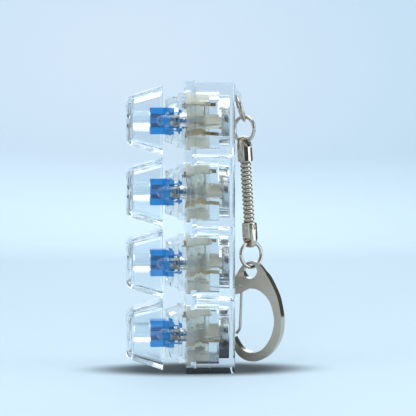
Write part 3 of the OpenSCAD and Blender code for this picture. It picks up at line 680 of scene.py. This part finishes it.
def axes(origin, across, up):
    """A place with local x across and local z up, taking millimetres to metres."""
    across, up = Vector(across).normalized(), Vector(up).normalized()
    back = up.cross(across)
    turn = Matrix((across, back, up)).transposed().to_4x4()
    return Matrix.Scale(MM, 4) @ Matrix.Translation(origin) @ turn


def split_ring(top, bottom, across, gauge, opening):
    """A jump ring bent from wire, its two cut ends almost meeting at the side."""
    middle, r = (top + bottom) / 2, (top - bottom).length / 2
    bm = bmesh.new()
    bmesh.ops.create_circle(bm, cap_ends=False, segments=16, radius=gauge / 2)
    bmesh.ops.translate(bm, verts=bm.verts, vec=(r, 0, 0))
    bmesh.ops.rotate(bm, verts=bm.verts, cent=(0, 0, 0),
                     matrix=Matrix.Rotation(-radians(opening / 2), 3, "Y"))
    bmesh.ops.spin(bm, geom=bm.verts[:] + bm.edges[:], cent=(0, 0, 0), axis=(0, 1, 0),
                   angle=-radians(360 - opening), steps=90)
    bmesh.ops.holes_fill(bm, edges=[e for e in bm.edges if e.is_boundary], sides=0)
    bmesh.ops.transform(bm, verts=bm.verts, matrix=axes(middle, across, top - bottom))
    return bm


chain_up = (spot("upper_sleeve_swing") - spot("clip_ring_swing")).normalized()
joint_across, clip_across = (Vector(HINGES[h]["axis"]) for h in ("upper_sleeve_swing", "clip_swing"))
ring_across = (spot("ear_swing") - spot("joint_ring_swing")).length
for name, top, bottom, across in (
        ("link_ring", spot("ear_swing"), spot("joint_ring_swing"), (0, 1, 0)),
        ("joint_ring", spot("upper_sleeve_swing") + Vector((0, 0, ring_across)),
         spot("upper_sleeve_swing"), joint_across),
        ("clip_ring", spot("clip_ring_swing"), spot("clip_swing"), clip_across)):
    ring = split_ring(top, bottom, across, gauge=1.0, opening=2.4)
    place(ring, f"split_{name}", name, nickel, name, "nickel", round_mm=0.06)

SLEEVE_R, SLEEVE_LEN, DOME, COIL_R = 2.05, 6.9, 1.6, 1.55
EYE_R, EYE_DROP = 1.0, 0.3


def crimped_sleeve(at, across, up):
    """An end sleeve, from its ring hole at the origin down to the mouth that the coil is pushed into."""
    low = DOME - SLEEVE_LEN
    outline = [(0, low + 2.2), (COIL_R + 0.05, low + 2.2), (COIL_R + 0.05, low), (SLEEVE_R - 0.12, low),
               (SLEEVE_R, low + 0.12)]
    outline += [(SLEEVE_R * cos(radians(a)), DOME - SLEEVE_R + SLEEVE_R * sin(radians(a)))
                for a in range(0, 90, 9)]
    outline.append((0, DOME))
    bm = lathe(outline, 48)
    for side in (-1, 1):
        flat = rod(2.0, -3, 3, steps=64)
        bmesh.ops.rotate(flat, verts=flat.verts, cent=(0, 0, 0), matrix=Matrix.Rotation(pi / 2, 3, "X"))
        bmesh.ops.translate(flat, verts=flat.verts, vec=(side * 2.85, 0, 0.3))
        bm = joined(bm, flat)
        # one dent of the crimp on each side grips the wound wire
        dent = bmesh.new()
        bmesh.ops.create_uvsphere(dent, u_segments=20, v_segments=12, radius=0.9)
        bmesh.ops.translate(dent, verts=dent.verts, vec=(0, side * (SLEEVE_R + 0.66), low + 1.5))
        bm = joined(bm, dent)
    eye = rod(EYE_R, -3, 3, steps=40)
    bmesh.ops.rotate(eye, verts=eye.verts, cent=(0, 0, 0), matrix=Matrix.Rotation(pi / 2, 3, "Y"))
    bmesh.ops.translate(eye, verts=eye.verts, vec=(0, 0, -EYE_DROP))
    bm = joined(bm, eye)
    bmesh.ops.transform(bm, verts=bm.verts, matrix=axes(at, across, up))
    return bm


place(crimped_sleeve(spot("upper_sleeve_swing"), joint_across, chain_up), "upper_crimp_sleeve", "upper_chain",
      nickel, "upper_sleeve", "nickel", round_mm=0.1, sharp=40)
place(crimped_sleeve(spot("clip_ring_swing"), clip_across, -chain_up), "lower_crimp_sleeve", "lower_chain",
      nickel, "lower_sleeve", "nickel", round_mm=0.1, sharp=40)

COIL_WIRE, COIL_IN = 1.14, 2.0
coil_top = spot("upper_sleeve_swing") + (DOME - SLEEVE_LEN + COIL_IN) * chain_up
coil_low = spot("clip_ring_swing") - (DOME - SLEEVE_LEN + COIL_IN) * chain_up
run = (coil_top - coil_low).length - COIL_WIRE
count = int(run / COIL_WIRE)
helix = [((COIL_R - COIL_WIRE / 2) * cos(k * pi / 12), (COIL_R - COIL_WIRE / 2) * sin(k * pi / 12),
          COIL_WIRE / 2 + run * k / (count * 24)) for k in range(count * 24 + 1)]
bm = wire(helix, COIL_WIRE / 2 - 0.01, sides=3)
bmesh.ops.transform(bm, verts=bm.verts, matrix=axes(coil_low, joint_across, chain_up))
coil = place(bm, "wound_chain", None, nickel, "spring_chain", "nickel", sharp=60)
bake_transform(coil)

# ------------------------------------------------------------------ clip
# The clip is a zinc casting, polished round and nickel plated, with a thinner eye for its ring.
# A sprung wire gate turns on a rivet and shuts against the nose of the hook.

turn_axis = Vector(HINGES["gate_opens"]["axis"]).normalized()
clip_x = chain_up.cross(turn_axis)
PIVOT, GATE_LOW, GATE_END = Vector((-3.05, -4.25)), Vector((-4.6, -16.0)), Vector((-5.75, -17.3))
clip_origin = spot("gate_opens") - PIVOT.x * clip_x - PIVOT.y * chain_up
clip_at = (Matrix.Scale(MM, 4) @ Matrix.Translation(clip_origin)
           @ Matrix((clip_x, chain_up, turn_axis)).transposed().to_4x4())
cast_nickel = metal("nickel_plated_zinc_casting", ("#d3c8ba", "#bbaf9f"), (0.09, 0.19), 0.35, 0.005,
                    satin_along=turn_axis)
place(copy_of("clip_body"), "cast_hook", "clip", cast_nickel, "clip_body", "nickel", round_mm=0.62,
      steps=5, sharp=30)

# the gate's wire makes most of a turn round the rivet, then runs straight down to a bent tip
GATE_EYE_R, GATE_WIRE_R = 0.62, 0.4
loop = [(PIVOT.x + GATE_EYE_R * cos(radians(a)), PIVOT.y + GATE_EYE_R * sin(radians(a)), 0.28 - a / 1100)
        for a in range(0, 330, 20)]
tail = bent([(PIVOT.x - 0.35, PIVOT.y - 0.75, -0.02), (GATE_LOW.x, GATE_LOW.y, 0),
             (GATE_END.x, GATE_END.y, 0)], 0.6)
bm = wire(loop + [tuple(v) for v in tail], GATE_WIRE_R, sides=3)
bmesh.ops.transform(bm, verts=bm.verts, matrix=clip_at)
place(bm, "wire_gate", "gate", nickel, "clip_gate", "nickel", sharp=60)

rivet = lathe([(0, -1.42), (0.36, -1.4), (0.58, -1.31), (0.4, -1.28),
               (0.4, 1.28), (0.58, 1.31), (0.36, 1.4), (0, 1.42)], 24)
bmesh.ops.translate(rivet, verts=rivet.verts, vec=(PIVOT.x, PIVOT.y, 0))
bmesh.ops.transform(rivet, verts=rivet.verts, matrix=clip_at)
place(rivet, "gate_rivet", "clip", nickel, "gate_pin", "nickel", sharp=50)
